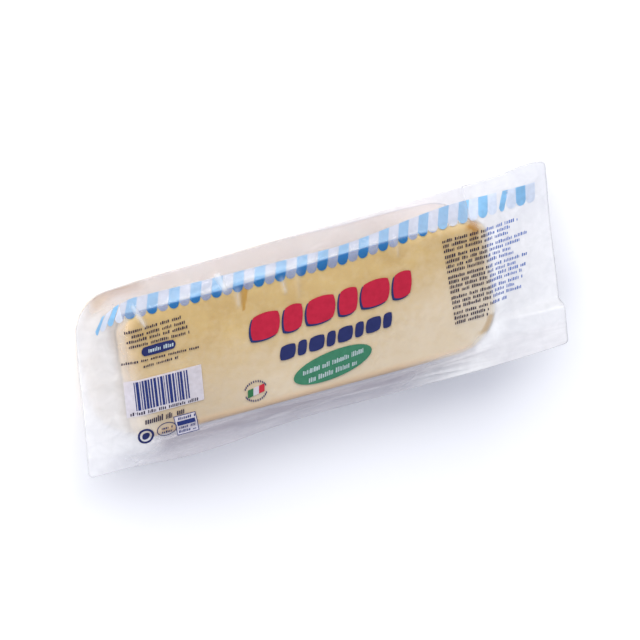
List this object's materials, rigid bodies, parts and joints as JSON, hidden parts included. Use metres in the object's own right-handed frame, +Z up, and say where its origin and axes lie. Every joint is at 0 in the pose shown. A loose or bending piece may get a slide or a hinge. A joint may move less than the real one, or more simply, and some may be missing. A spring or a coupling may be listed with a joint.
{
  "type": "smoked provola cheese",
  "caption": "Rounded loaf of pale smoked cheese sealed in a clear printed film pack with a loose film margin all round, lying on its back.",
  "frame": {"origin": "centre of the flat underside that the loaf rests on", "axes": "+X along the loaf, +Y towards the top of the print, +Z up out of the printed face"},
  "size_m": [0.2908, 0.1142, 0.0522],
  "materials": {
    "sealed_pack": "clear glossy film over pale golden cheese"
  },
  "bodies": {
    "root": {"sealed_pack": "sealed_pack"}
  },
  "joints": []
}
